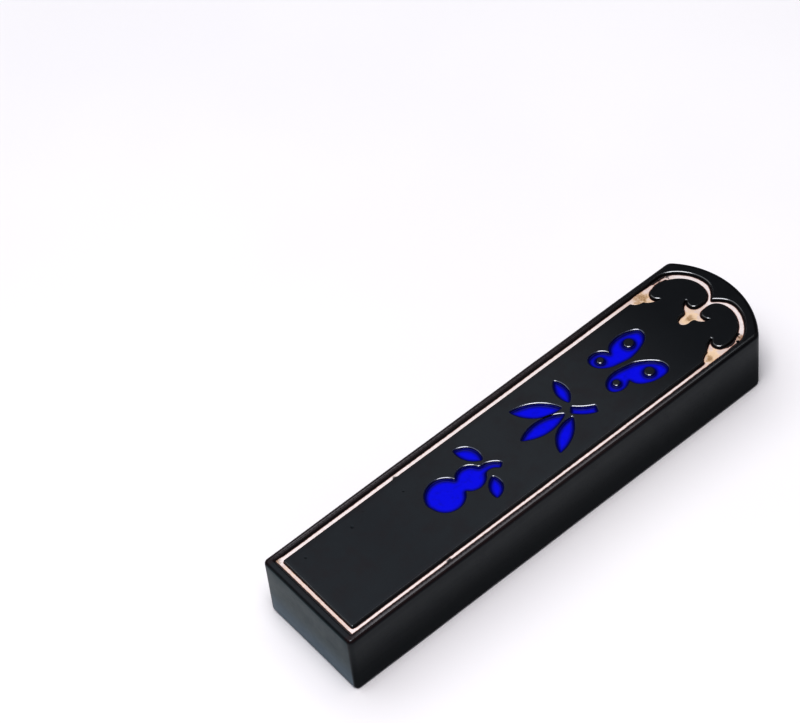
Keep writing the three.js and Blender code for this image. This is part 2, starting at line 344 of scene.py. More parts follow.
@dataclass(frozen=True)
class InkFinish:
    """Soot and glue, pressed in a wooden mould, dried and polished.

    A span says where a soft step starts and ends, in millimetres: across the stick, along it or up it.
    """

    name: str = "pressed_ink"
    black: Colour = (0.0152, 0.0150, 0.0168)
    brownish: Colour = (0.0210, 0.0085, 0.0085)
    # painted shade: the upper face darkens towards the arched head
    head_shade: Colour = (0.0050, 0.0042, 0.0048)
    # painted shade: the sides, and the nicks in the face, take a darker tone than the face, mottled where
    # rubbed
    side_shade: Colour = (0.0035, 0.0040, 0.0045)
    side_shade_rubbed: Colour = (0.0072, 0.0077, 0.0086)
    # the ground end takes a blue-green cast, and a painted reflection of the bright table lightens it towards
    # its foot
    ground_end: Colour = (0.004, 0.024, 0.027)
    foot_reflection: Colour = (0.062, 0.106, 0.140)
    washed: Colour = (0.0008, 0.0010, 0.045)
    # the colour of real dust and chips, and also of the painted sheen on the face from the middle on
    dust_and_sheen: Colour = (0.026, 0.027, 0.029)
    tint: Colour = (0.76, 0.90, 1.0)
    satin: float = 0.30
    side_dulling: float = 0.30
    roughness_spread: float = 0.16
    grain_depth: float = 0.004
    wave_depth: float = 0.05
    pit_depth: float = 0.03
    nick_depth: float = 0.03
    crown_depth: float = 0.07
    streak_dulling: float = 0.06
    scuff_dulling: float = 0.08
    dust_dulling: float = 0.12
    end_dulling: float = 0.03
    wear_polish: float = 0.1
    specular: float = 0.3
    coat_roughness: float = 0.16
    coat_ior: float = 1.7
    # painted sheen: how far the face lightens from the middle towards the head
    middle_sheen: float = 0.85
    mottle_browning: float = 0.3
    margin_browning: float = 0.75
    head_shading: float = 0.95
    dust_cover: float = 0.6
    chip_cover: float = 0.8
    tail_dulling: float = 0.88
    face_rise: Span = (13.9, 14.5)
    margin_start: Span = (9.9, 10.6)
    side_start: Span = (10.9, 11.5)
    side_foot: Span = (12.5, 2.5)
    middle_sheen_start: Span = (-34.0, 0.0)
    head_shade_start: Span = (14.0, 38.0)
    end_start: Span = (-49.5, -49.9)
    foot_reflection_rise: Span = (8.5, 1.5)
    end_corner: Span = (11.3, 10.7)
    crown_side: Span = (9.9, 8.3)
    crown_tail: Span = (-47.9, -46.4)
    tail_start: Span = (-44.5, -49.5)
    nicks: tuple[Stain, ...] = (Stain(-6.4, -34.2, 0.28), Stain(-7.0, -44.1, 0.24), Stain(-6.1, -22.8, 0.2))
    chips: tuple[Stain, ...] = (Stain(11.1, 0.5, 0.16), Stain(11.3, -11.6, 0.14))

    def material(self) -> bpy.types.Material:
        """Build the material.

        Returns:
            The finished material.
        """
        shader = Shader(self.name)
        mottle = shader.cloud(3.2, detail=4.0, roughness=0.6)
        streaks = shader.cloud(0.9, (1.0, 0.06, 1.0), detail=3.0, shift=(7.0, 0.0, 3.0))
        scuffs = shader.cloud(0.35, (0.2, 1.0, 1.0), detail=2.0, shift=(0.0, 9.0, 0.0)).rise(0.60, 0.74)
        dust = shader.cloud(0.5, detail=3.0, shift=(2.0, 2.0, 5.0)).rise(0.62, 0.80) * mottle.rise(0.45, 0.70)
        across, along, height = shader.axis("X").size(), shader.axis("Y"), shader.axis("Z")
        top = height.rise(*self.face_rise)
        margin = across.rise(*self.margin_start) * top
        side = across.rise(*self.side_start) * (1.0 - top)
        low = height.rise(*self.side_foot)
        worn = shader.stored(WORN)
        nicked = patches(shader, self.nicks, mottle)
        browned = mottle.rise(0.40, 0.75) * self.mottle_browning + margin * self.margin_browning
        side_shade_tone = shader.mix(mottle.rise(0.35, 0.70), self.side_shade, self.side_shade_rubbed)
        end = along.rise(*self.end_start) * (1.0 - top)
        # painted reflection: the end face lightens towards its foot
        end_tone_and_reflection = shader.mix(height.rise(*self.foot_reflection_rise), self.ground_end, self.foot_reflection)
        tone = shader.layered(
            self.black,
            # painted sheen from the middle of the face on
            (along.rise(*self.middle_sheen_start) * self.middle_sheen, self.dust_and_sheen),
            (browned, self.brownish),
            (dust * self.dust_cover, self.dust_and_sheen),
            (patches(shader, self.chips, mottle) * self.chip_cover, self.dust_and_sheen),
            # painted shade towards the head
            (along.rise(*self.head_shade_start) * self.head_shading, self.head_shade),
            # painted shade on the sides and in the nicks
            (side.most(nicked), side_shade_tone),
            (end * across.rise(*self.end_corner), end_tone_and_reflection),
            (shader.stored(WASH), self.washed),
        )
        gloss = mottle * self.roughness_spread + streaks * self.streak_dulling
        gloss = gloss + scuffs * self.scuff_dulling + dust * self.dust_dulling
        gloss = gloss + side * (low + 0.3) * self.side_dulling + end * self.end_dulling
        gloss = gloss - worn * self.wear_polish
        pits = shader.pits(4.6, 0.05) * shader.cloud(9.0, shift=(4.0, 0.0, 0.0)).rise(0.45, 0.60)
        crown = across.rise(*self.crown_side) * along.rise(*self.crown_tail)
        relief = shader.relief(
            (crown, self.crown_depth),
            (shader.cloud(9.0, (1.0, 0.45, 1.0), detail=1.0), self.wave_depth),
            (shader.cloud(0.16, detail=4.0, roughness=0.65), self.grain_depth),
            (1.0 - pits, self.pit_depth),
            (1.0 - nicked, self.nick_depth),
        )
        shine = worn * (mottle.rise(0.2, 0.6) * 0.4 + 0.6)
        near_tail = along.rise(*self.tail_start)
        shader.feed(shader.surface, {
            "Base Color": tone,
            "Roughness": gloss + (self.satin - 0.5 * self.roughness_spread),
            "Specular IOR Level": self.specular,
            "Specular Tint": (*self.tint, 1.0),
            "Coat Weight": shine * (1.0 - near_tail * self.tail_dulling),
            "Coat Roughness": self.coat_roughness,
            "Coat IOR": self.coat_ior,
            "Normal": relief,
        })
        return shader.material


@dataclass(frozen=True)
class GiltFinish:
    """Pale gold powder brushed along the sunk line: browned where it pooled and thin where it has worn.

    A span says where a soft step starts and ends, in millimetres across the stick or along it.
    """

    name: str = "pale_gilding"
    pale: Colour = (0.67, 0.565, 0.530)
    cool: Colour = (0.79, 0.732, 0.727)
    warm: Colour = (0.77, 0.575, 0.375)
    brown: Colour = (0.29, 0.17, 0.075)
    bare: Colour = (0.012, 0.006, 0.007)
    fringe: Colour = (0.40, 0.16, 0.08)
    line_gap: float = 0.28
    gap_lean: float = 0.02
    tail_thinning: float = -0.20
    right_limit: float = 10.12
    tail_limit: float = -48.1
    arch_gap: float = 0.29
    pool_gap: float = 0.1
    shoulder_thinning: float = 0.28
    raggedness: float = 0.22
    edge_blur: float = 0.03
    metallic: float = 0.25
    satin: float = 0.38
    roughness_spread: float = 0.2
    speck_depth: float = 0.02
    wave_depth: float = 0.05
    thin_cover: float = 0.7
    drift_warming: float = 0.45
    cooling: float = 0.8
    warming: float = 0.85
    browning: float = 0.9
    fringe_cover: float = 0.75
    fringe_width: float = 0.14
    arch_start: Span = (34.0, 38.0)
    arch_top: Span = (42.4, 44.4)
    straight_side: Span = (8.6, 9.6)
    straight_end: Span = (34.0, 28.0)
    tail_line: Span = (-46.5, -47.6)
    pools: tuple[Stain, ...] = (Stain(0.0, 39.2, 2.4), Stain(-9.0, 36.2, 2.0), Stain(9.0, 36.2, 2.0))
    browned: tuple[Stain, ...] = (
        Stain(-9.3, 36.2, 1.6), Stain(9.9, 42.9, 1.1), Stain(0.1, 39.3, 0.9), Stain(9.1, 35.7, 0.9),
        Stain(-10.1, -48.0, 0.8),
    )
    shoulders: tuple[Stain, ...] = (Stain(-9.8, 41.2, 2.0), Stain(10.1, 40.9, 1.8))
    worn: tuple[Stain, ...] = (
        Stain(-10.35, 41.2, 0.8), Stain(-9.9, 43.0, 0.55), Stain(10.2, 42.2, 0.3), Stain(-9.4, -21.9, 0.7),
        Stain(10.3, -26.2, 0.7),
    )

    def material(self) -> bpy.types.Material:
        """Build the material.

        Returns:
            The finished material.
        """
        shader = Shader(self.name)
        drift = shader.cloud(1.4, detail=3.0, roughness=0.6)
        speck = shader.cloud(0.12, detail=3.0, roughness=0.7, shift=(3.0, 1.0, 0.0))
        ragged = shader.cloud(0.8, detail=3.0, roughness=0.7, shift=(0.0, 4.0, 1.0))
        across, along = shader.axis("X"), shader.axis("Y")
        arched = along.rise(*self.arch_start)
        lean = across * (self.gap_lean / 10.0)
        pooled = patches(shader, self.pools, ragged)
        gap = self.line_gap + lean - arched * (lean + (self.line_gap - self.arch_gap))
        gap = gap + along.rise(*self.tail_line) * self.tail_thinning
        gap = gap + patches(shader, self.shoulders, drift) * self.shoulder_thinning
        gap = gap - pooled * (self.arch_gap - self.pool_gap)
        room = (self.right_limit - across).least(along - self.tail_limit)
        reach = (shader.stored(WALL) - gap).least(room) + (ragged - 0.5) * self.raggedness
        thin = speck.rise(0.68, 0.80) * drift.rise(0.45, 0.65)
        short = reach.rise(self.edge_blur, -self.edge_blur)
        missing = short.most(patches(shader, self.worn, ragged)).most(thin * self.thin_cover)
        edge = reach.rise(self.fringe_width, 0.0)
        straight = across.size().rise(*self.straight_side) * along.rise(*self.straight_end)
        stained = patches(shader, self.browned, ragged) * speck.rise(0.2, 0.6)
        tone = shader.layered(
            self.pale,
            (drift.rise(0.45, 0.75) * self.drift_warming, self.warm),
            (straight.most(along.rise(*self.arch_top)) * self.cooling, self.cool),
            (pooled * self.warming, self.warm),
            (stained * self.browning, self.brown),
            (edge * self.fringe_cover, self.fringe),
            (missing, self.bare),
        )
        shader.feed(shader.surface, {
            "Base Color": tone,
            "Metallic": self.metallic - missing * self.metallic,
            "Roughness": speck * self.roughness_spread + self.satin,
            "Normal": shader.relief((drift, self.wave_depth), (speck, self.speck_depth)),
        })
        return shader.material


@dataclass(frozen=True)
class BlueFinish:
    """Ultramarine pigment in glue, brushed into the sunk pictures, with painted shade that darkens it against
    their walls.
    """

    name: str = "ultramarine"
    bright: Colour = (0.0, 0.0015, 0.62)
    # deep serves both the blue's own darker patches and the painted shade against the walls
    deep: Colour = (0.0, 0.0008, 0.10)
    wall_shadow: Colour = (0.0004, 0.0008, 0.05)
    shadow_reach: float = 0.12
    shade_reach: float = 1.05
    drift_deepening: float = 0.25
    wall_shading: float = 0.9
    satin: float = 0.32
    speck_spread: float = 0.2
    drift_spread: float = 0.15
    specular: float = 0.15
    speck_depth: float = 0.004
    wave_depth: float = 0.04

    def material(self) -> bpy.types.Material:
        """Build the material.

        Returns:
            The finished material.
        """
        shader = Shader(self.name)
        drift = shader.cloud(1.2, detail=3.0, roughness=0.6, shift=(1.0, 0.0, 2.0))
        speck = shader.cloud(0.14, detail=3.0, roughness=0.7)
        away = shader.stored(WALL) + (drift - 0.5) * 0.25
        tone = shader.layered(
            self.bright,
            (drift.rise(0.50, 0.80) * self.drift_deepening, self.deep),
            # painted shade: the blue darkens towards the walls and is darkest right against them
            (away.rise(self.shade_reach, self.shadow_reach) * self.wall_shading, self.deep),
            (away.rise(self.shadow_reach, 0.02), self.wall_shadow),
        )
        shader.feed(shader.surface, {
            "Base Color": tone,
            "Roughness": speck * self.speck_spread + drift * self.drift_spread + self.satin,
            "Specular IOR Level": self.specular,
            "Normal": shader.relief((drift, self.wave_depth), (speck, self.speck_depth)),
        })
        return shader.material


@dataclass(frozen=True)
class FloorFinish:
    """Plain pale tabletop."""

    name: str = "pale_table"
    white: Colour = (0.84, 0.83, 0.84)
    tinted: Colour = (0.825, 0.815, 0.83)
    satin: float = 0.55
    roughness_spread: float = 0.1
    grain_depth: float = 0.01

    def material(self) -> bpy.types.Material:
        """Build the material.

        Returns:
            The finished material.
        """
        shader = Shader(self.name)
        drift = shader.cloud(60.0, detail=2.0)
        grain = shader.cloud(0.4, detail=3.0)
        shader.feed(shader.surface, {
            "Base Color": shader.mix(drift.rise(0.35, 0.65), self.white, self.tinted),
            "Roughness": grain * self.roughness_spread + self.satin,
            "Normal": shader.relief((grain, self.grain_depth)),
        })
        return shader.material


# ------------------------------------------------------------------------------------------------ outlines


@dataclass
class Outline:
    """A closed loop, drawn counter-clockwise stroke by stroke.

    Attributes:
        points: The loop's points, in millimetres.
        step: About how far apart the points lie.
    """

    points: list[Vector] = field(default_factory=list)
    step: float = 0.3

    def start(self, x: float, y: float) -> "Outline":
        """Put down the first point and return the outline."""
        self.points.append(Vector((x, y)))
        return self

    def line(self, x: float, y: float) -> "Outline":
        """Draw a straight stroke to a point.

        Args:
            x: The point's x.
            y: The point's y.

        Returns:
            The outline.
        """
        here, there = self.points[-1], Vector((x, y))
        count = max(1, round((there - here).length / self.step))
        self.points += [here.lerp(there, i / count) for i in range(1, count + 1)]
        return self

    def arc(self, x: float, y: float, bulge: float) -> "Outline":
        """Draw a round stroke to a point.

        Args:
            x: The point's x.
            y: The point's y.
            bulge: Tangent of a quarter of the arc's angle, positive where the arc bulges out of the loop.

        Returns:
            The outline.
        """
        here, there = self.points[-1], Vector((x, y))
        chord = there - here
        middle = here.lerp(there, 0.5) + Vector((-chord.y, chord.x)) * (1 - bulge * bulge) / (4 * bulge)
        return self.turn(middle, 4 * math.atan(bulge))

    def turn(self, middle: Sequence[float], angle: float) -> "Outline":
        """Swing on round a middle.

        Args:
            middle: The middle of the arc.
            angle: How far to swing, in radians, positive counter-clockwise.

        Returns:
            The outline.
        """
        centre = Vector(middle)
        spoke = self.points[-1] - centre
        count = max(3, round(abs(angle) * spoke.length / self.step))
        for i in range(1, count + 1):
            self.points.append(centre + Matrix.Rotation(angle * i / count, 2) @ spoke)
        return self

    def curve(self, x1: float, y1: float, x2: float, y2: float, x: float, y: float) -> "Outline":
        """Draw a cubic curve to a point.

        Args:
            x1: First handle's x.
            y1: First handle's y.
            x2: Second handle's x.
            y2: Second handle's y.
            x: End point's x.
            y: End point's y.

        Returns:
            The outline.
        """
        knots = [self.points[-1], Vector((x1, y1)), Vector((x2, y2)), Vector((x, y))]
        length = sum((b - a).length for a, b in zip(knots, knots[1:]))
        count = max(3, round(length / self.step))
        self.points += geometry.interpolate_bezier(*knots, count + 1)[1:]
        return self

    def strokes(self, *strokes: Sequence[float]) -> "Outline":
        """Draw several strokes.

        Args:
            *strokes: Two numbers for a straight stroke, three for an arc and six for a curve.

        Returns:
            The outline.
        """
        pens: dict[int, Callable] = {2: self.line, 3: self.arc, 6: self.curve}
        for stroke in strokes:
            pens[len(stroke)](*stroke)
        return self

    def changed(self, change: Callable[[Vector], Vector], backwards: bool = False) -> "Outline":
        """Return the outline with every point changed, and backwards where it is mirrored."""
        points = [change(p) for p in self.points]
        return Outline(points[::-1] if backwards else points, self.step)

    def mirrored(self) -> "Outline":
        """Return the outline's mirror image across the stick's centre line."""
        return self.changed(lambda p: Vector((-p.x, p.y)), backwards=True)

    def turned(self, angle: float) -> "Outline":
        """Return the outline turned about the origin, in radians."""
        return self.changed(lambda p: Matrix.Rotation(angle, 2) @ p)

    def moved(self, by: Sequence[float]) -> "Outline":
        """Return the outline moved by a vector."""
        return self.changed(lambda p: p + Vector(by))

    def joined(self, other: "Outline") -> "Outline":
        """Return one outline of this one's points and then another's."""
        return Outline(self.points + other.points, self.step)

    def closed(self) -> "Outline":
        """Drop the points that repeat their neighbour.

        Returns:
            The outline without them.
        """
        nearest = 1e-3
        around = zip(self.points, self.points[1:] + self.points[:1])
        return Outline([a for a, b in around if (a - b).length > nearest], self.step)

    def softened(self, rounds: int = 3) -> "Outline":
        """Round the loop's corners.

        Args:
            rounds: How often each point moves halfway to the middle of its neighbours.

        Returns:
            The rounded outline.
        """
        points = self.points
        for _ in range(rounds):
            after = points[1:] + points[:1]
            before = points[-1:] + points[:-1]
            points = [(a + b) * 0.25 + p * 0.5 for a, p, b in zip(before, points, after)]
        return Outline(points, self.step)

    def inward(self) -> list[Vector]:
        """Work out the way into the loop at each point.

        Returns:
            Vectors that move a point so far that its sides move inwards by one millimetre.
        """
        longest = 2.8
        found = []
        for i, here in enumerate(self.points):
            arriving = (here - self.points[i - 1]).normalized()
            leaving = (self.points[(i + 1) % len(self.points)] - here).normalized()
            along = (arriving + leaving).normalized()
            found.append(Vector((-along.y, along.x)) * min(longest, 1 / max(1e-6, along.dot(leaving))))
        return found


def half_and_half(right: Outline, left: Union[Outline, None] = None) -> Outline:
    """Return a crisp outline of its right half and its left half, or the right one again, mirrored."""
    return right.joined((left or right).mirrored()).closed().softened(1)


# ------------------------------------------------------------------------------------------- mesh building


class Ring:
    """A closed row of edges on a mesh, which can be carried on into a wall."""

    def __init__(self, mesh: bmesh.types.BMesh, verts: list[bmesh.types.BMVert]) -> None:
        """Take up vertices of a mesh, in order, that edges join already."""
        self.mesh = mesh
        self.verts = verts

    @classmethod
    def drawn(cls, mesh: bmesh.types.BMesh, points: Sequence[Vector], height: float) -> "Ring":
        """Start a ring.

        Args:
            mesh: The mesh to draw on.
            points: The ring's points.
            height: How high it lies.

        Returns:
            The ring.
        """
        verts = [mesh.verts.new((p.x, p.y, height)) for p in points]
        for a, b in zip(verts, verts[1:] + verts[:1]):
            mesh.edges.new((a, b))
        return cls(mesh, verts)

    def edges(self) -> list[bmesh.types.BMEdge]:
        """Return the ring's edges."""
        return [self.mesh.edges.get(pair) for pair in zip(self.verts, self.verts[1:] + self.verts[:1])]

    def carried(self, points: Sequence[Vector], height: float) -> "Ring":
        """Extrude the ring to new points.

        Args:
            points: One point for each vertex.
            height: How high they lie.

        Returns:
            The new ring.
        """
        made = bmesh.ops.extrude_edge_only(self.mesh, edges=self.edges())
        fresh = {part for part in made["geom"] if isinstance(part, bmesh.types.BMVert)}
        verts = []
        for vert, point in zip(self.verts, points):
            new = next(e.other_vert(vert) for e in vert.link_edges if e.other_vert(vert) in fresh)
            new.co = (point.x, point.y, height)
            verts.append(new)
        return Ring(self.mesh, verts)


def add_ring(mesh: bmesh.types.BMesh, rings: list[Ring], points: Sequence[Vector], height: float) -> None:
    """Carry the last of a stack of rings on to new points, or draw its first ring there."""
    rings.append(rings[-1].carried(points, height) if rings else Ring.drawn(mesh, points, height))


def fill(mesh: bmesh.types.BMesh, *rings: Ring) -> None:
    """Fill the flat space between one ring and the rings inside it, all at one height."""
    edges = [e for ring in rings for e in ring.edges()]
    bmesh.ops.triangle_fill(mesh, use_beauty=True, edges=edges, normal=(0.0, 0.0, 1.0))


def level_faces(mesh: bmesh.types.BMesh, height: float) -> list[bmesh.types.BMFace]:
    """Return the faces that lie flat at a height."""
    return [f for f in mesh.faces if all(abs(v.co.z - height) < TOLERANCE for v in f.verts)]


def refine(mesh: bmesh.types.BMesh, height: float, pitch: float) -> None:
    """Split the faces of a level until none of their edges is long.

    Args:
        mesh: The mesh.
        height: How high the level lies.
        pitch: The longest edge to keep.
    """
    rounds, upright = 9, 0.99
    for _ in range(rounds):
        edges = {e for f in level_faces(mesh, height) for e in f.edges}
        long = [e for e in edges if e.calc_length() > pitch]
        if not long:
            return
        bmesh.ops.subdivide_edges(mesh, edges=long, cuts=1)
        made = bmesh.ops.triangulate(mesh, faces=level_faces(mesh, height))
        inner = [e for e in {e for f in made["faces"] for e in f.edges} if len(e.link_faces) == 2]
        flat = [e for e in inner if all(abs(f.normal.z) > upright for f in e.link_faces)]
        bmesh.ops.beautify_fill(mesh, faces=made["faces"], edges=flat)


def hand_pressed(point: Vector) -> Vector:
    """Move a point a few hundredths of a millimetre, as drying moves it, and keep the underside flat.

    Args:
        point: The point, in millimetres.

    Returns:
        The moved point.
    """
    size, reach, flat = 13.0, 0.055, 2.0
    shift = noise.noise_vector(point / size) * reach
    shift.z *= min(1.0, point.z / flat)
    return point + shift


def put(name: str, data: bpy.types.ID) -> bpy.types.Object:
    """Put a mesh, a light or a camera in the scene.

    Args:
        name: The object's name.
        data: What it shows.

    Returns:
        The object, at the origin.
    """
    made = bpy.data.objects.new(name, data)
    bpy.context.scene.collection.objects.link(made)
    return made


def dressed(name: str, mesh: bmesh.types.BMesh, finish: bpy.types.Material) -> bpy.types.Object:
    """Put a mesh in the scene with its finish.

    Args:
        name: The object's name.
        mesh: Its mesh, which is used up.
        finish: Its material.

    Returns:
        The object, at the origin.
    """
    data = bpy.data.meshes.new(name)
    mesh.to_mesh(data)
    mesh.free()
    data.materials.append(finish)
    return put(name, data)


def piece(name: str, mesh: bmesh.types.BMesh, finish: bpy.types.Material) -> bpy.types.Object:
    """Make a finished object of a mesh drawn in millimetres.

    Args:
        name: The piece's name.
        mesh: Its mesh, which is used up.
        finish: Its material.

    Returns:
        The object, at the origin.
    """
    bmesh.ops.remove_doubles(mesh, verts=mesh.verts[:], dist=TOLERANCE)
    bmesh.ops.recalc_face_normals(mesh, faces=mesh.faces[:])
    for vert in mesh.verts:
        vert.co = hand_pressed(vert.co)
    bmesh.ops.scale(mesh, vec=(MM, MM, MM), verts=mesh.verts[:])
    for face in mesh.faces:
        face.smooth = True
    open_edges = sum(not e.is_manifold for e in mesh.edges)
    made = dressed(name, mesh, finish)
    LOG.info("%s: %d faces, %d open edges", name, len(made.data.polygons), open_edges)
    return made


def fitted(made: bpy.types.Object, slot: str, *nodes: str) -> None:
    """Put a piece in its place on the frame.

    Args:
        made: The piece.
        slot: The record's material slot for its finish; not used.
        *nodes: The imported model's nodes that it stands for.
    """
    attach(made, "root")
    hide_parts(*nodes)


# ----------------------------------------------------------------------------------------- the sunk shapes


@dataclass
class SunkPart:
    """One recess in the upper face.

    Attributes:
        name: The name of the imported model's node that fills it.
        loop: Its outline.
        islands: Outlines of the ink that stands up inside it.
    """

    name: str
    loop: Outline
    islands: list[Outline] = field(default_factory=list)


@dataclass(frozen=True)
class Moulding:
    """What the wooden mould gives every recess: its depth, its rounded rims and its sloping walls."""

    depth: float = 0.7
    rim_width: float = 0.2
    rim_drop: float = 0.09
    draft: float = 0.04
    hold: float = 0.02

    def profile(self) -> list[Point]:
        """Work out the section of a rim, which is worn to a slope with rounded edges, and its wall.

        Returns:
            How far into the recess and how far below the face each corner of the section lies, in order.
        """
        slope = self.rim_drop / self.rim_width
        ends = (self.hold, 2 * self.hold)
        upper = [(end - self.rim_width, end * slope) for end in ends]
        lower = [(-end, self.rim_drop - end * slope) for end in reversed(ends)]
        face = [(-self.rim_width - self.hold, 0.0), (-self.rim_width, 0.0)]
        wall = [(0.0, self.rim_drop + end) for end in ends]
        wall.append((self.draft, self.depth))
        return [*face, *upper, *lower, *wall]

    def wall(
        self,
        mesh: bmesh.types.BMesh,
        loop: Outline,
        face: float,
        recess_inside: bool,
        painted: bool = False,
    ) -> tuple[Ring, Ring]:
        """Draw a recess's rim and wall round a loop.

        Args:
            mesh: The mesh to draw on.
            loop: The loop.
            face: How high the upper face lies.
            recess_inside: Whether the recess is inside the loop, as it is not round an island.
            painted: Whether paint has stained the wall and the rim.

        Returns:
            The ring on the face and the ring on the recess's floor.
        """
        ways = loop.inward()
        side = 1 if recess_inside else -1
        worn, wash = mesh.verts.layers.float[WORN], mesh.verts.layers.float[WASH]
        rings: list[Ring] = []
        for into, below in self.profile():
            points = [p + w * into * side for p, w in zip(loop.points, ways)]
            add_ring(mesh, rings, points, face - below)
            on_rim = into >= -self.rim_width and below <= self.rim_drop + self.hold
            for vert in rings[-1].verts:
                vert[worn] = float(on_rim)
                vert[wash] = float(painted and into >= -self.rim_width)
        return rings[0], rings[-1]


@dataclass
class BorderLine:
    """The gilded line: square at the tail, three cusped arches at the head, and leaf-shaped finials."""

    side_margin: float = 1.27
    tail_margin: float = 1.42
    line_width: float = 1.24
    arch_spring: float = 41.5
    arch_peak: float = 47.15
    arch_peak_x: float = 3.7
    arch_width: float = 1.4
    cusp: float = 44.9
    stem: float = 0.62
    pendant_y: float = 41.05
    finial_right: float = 38.05
    finial_left: float = 37.55
    step: float = 0.22

    def __post_init__(self) -> None:
        """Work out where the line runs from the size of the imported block."""
        low, high = (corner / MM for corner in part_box("ink_block"))
        self.line_outer = high.x - self.side_margin
        self.line_inner = self.line_outer - self.line_width
        self.tail_outer = low.y + self.tail_margin
        self.tail_inner = self.tail_outer + self.line_width

    def outer_loop(self) -> Outline:
        """Draw the line's outer edge.

        Returns:
            The whole edge.
        """
        x, spring, peak, peak_x = self.line_outer, self.arch_spring, self.arch_peak, self.arch_peak_x
        half = Outline(step=self.step).start(0, self.tail_outer).strokes(
            (x, self.tail_outer),
            (x, spring),
            (x, spring + 2.6, peak_x + 3.2, peak, peak_x, peak),
            (peak_x - 1.8, peak, 0.7, self.cusp + 0.8, 0, self.cusp),
        )
        return half_and_half(half)

    def field_half(self, finial: float) -> Outline:
        """Draw half of the field inside the line, round a side finial and the middle one.

        Args:
            finial: How far up the side finial's tip stands.

        Returns:
            The right half of the field's edge.
        """
        x, stem, low = self.line_inner, self.stem, self.pendant_y
        arch = self.arch_peak - self.arch_width
        peak_x = self.arch_peak_x
        return Outline(step=self.step).start(0, self.tail_inner).strokes(
            (x, self.tail_inner),
            (x, finial - 3.9),
            (x - 0.7, finial - 3.75, x - 1.25, finial - 2.9, x - 1.3, finial - 1.9),
            (x - 1.9, finial - 1.7, x - 2.6, finial - 0.8, x - 2.95, finial + 0.7),
            (x - 2.78, finial + 0.82),
            (x - 2.3, finial + 0.1, x - 1.8, finial, x - 1.4, finial),
            (x - 0.5, finial, x, finial + 0.9, x, finial + 2.2),
            (x, self.arch_spring + 1.5, peak_x + 2.9, arch, peak_x, arch),
            (peak_x - 1.8, arch, stem, arch - 1, stem, arch - 2.5),
            (stem, low + 1.3),
            (stem, low + 0.5, stem + 0.5, low, stem + 1.15, low),
            (stem + 1.7, low, stem + 2.1, low + 0.15, stem + 2.4, low + 0.5),
            (stem + 2.52, low + 0.34),
            (stem + 2.3, low - 0.75, stem + 1.6, low - 1.45, stem + 0.75, low - 1.55),
            (stem + 0.35, low - 2, stem + 0.48, low - 2.4, stem + 0.48, low - 2.95),
            (stem + 0.48, low - 3.6, stem, low - 4.2, 0, low - 4.2),
        )

    def field_loop(self) -> Outline:
        """Return the line's inner edge, which the field of ink fills."""
        return half_and_half(self.field_half(self.finial_right), self.field_half(self.finial_left))


@dataclass
class Butterfly:
    """The upper picture: two pairs of wings with round spots of ink left standing."""

    centre: Point = (0.0, 24.1)
    turn: float = -0.22
    spots: tuple[tuple[float, float, float], ...] = ((3.7, 2.6, 1.0), (2.9, -3.7, 0.72))
    step: float = 0.16

    def wings(self) -> Outline:
        """Return the right pair of wings, about the butterfly's own middle."""
        return Outline(step=self.step).start(0.55, -2.2).strokes(
            (1, -6.2, 4.7, -6.9, 4.8, -3.8),
            (4.8, -2.7, 4.3, -2, 3.5, -1.4),
            (5.6, -1.1, 6.5, 2, 5.7, 4.8),
            (5.3, 6.3, 3.6, 6.2, 2.5, 5),
            (1.6, 3.9, 0.8, 2.3, 0.55, 0.9),
            (0.55, -2.2),
        ).closed().softened()

    def spot(self, x: float, y: float, radius: float) -> Outline:
        """Return one round spot."""
        return Outline(step=self.step).start(x + radius, y).turn((x, y), 2 * math.pi).closed()

    def parts(self) -> list[SunkPart]:
        """Place both pairs of wings.

        Returns:
            Their recesses.
        """
        right = [self.wings(), *(self.spot(*s) for s in self.spots)]
        left = [loop.mirrored() for loop in right]
        made = []
        for name, loops in (("blue_wings_right", right), ("blue_wings_left", left)):
            placed = [loop.turned(self.turn).moved(self.centre) for loop in loops]
            made.append(SunkPart(name, placed[0], placed[1:]))
        return made


@dataclass
class Leaves:
    """Leaves that bulge on both sides of the line from stalk to tip."""

    centre: Point
    shapes: dict[str, tuple[Point, Point, float, float]]
    step: float = 0.16

    def leaf(self, base: Point, tip: Point, right: float, left: float) -> Outline:
        """Return one leaf from its base to its tip, with how far its right and left sides bulge."""
        loop = Outline(step=self.step).start(*base).strokes((*tip, right), (*base, left))
        return loop.closed().softened().moved(self.centre)

    def parts(self) -> list[SunkPart]:
        """Return a recess for each leaf."""
        return [SunkPart(name, self.leaf(*shape)) for name, shape in self.shapes.items()]


@dataclass
class BambooSpray:
    """The middle picture: four leaves hanging from a bent twig."""

    centre: Point = (0.1, 6.4)
    step: float = 0.16

    def twig(self) -> Outline:
        """Return the twig's outline."""
        loop = Outline(step=self.step).start(3, 7.5).strokes(
            (2.2, 6.1, 1.4, 5.1, 0.3, 4.2),
            (1.3, 3.1),
            (2.7, 4.1, 3.7, 5.2, 4.4, 6.8),
            (3, 7.5),
        )
        return loop.closed().softened().moved(self.centre)

    def parts(self) -> list[SunkPart]:
        """Return a recess for the twig and for each leaf."""
        leaves = Leaves(self.centre, {
            "blue_leaf_small": ((-0.6, 4.5), (-6, 5.7), 0.44, 0.4),
            "blue_leaf_left": ((-0.7, 2.8), (-6.3, -4.6), 0.3, 0.4),
            "blue_leaf_middle": ((0.7, 2.3), (-0.2, -7.3), 0.34, 0.32),
            "blue_leaf_right": ((2.1, 2.9), (6.5, -4), 0.42, 0.28),
        })
        return [SunkPart("blue_twig", self.twig()), *leaves.parts()]


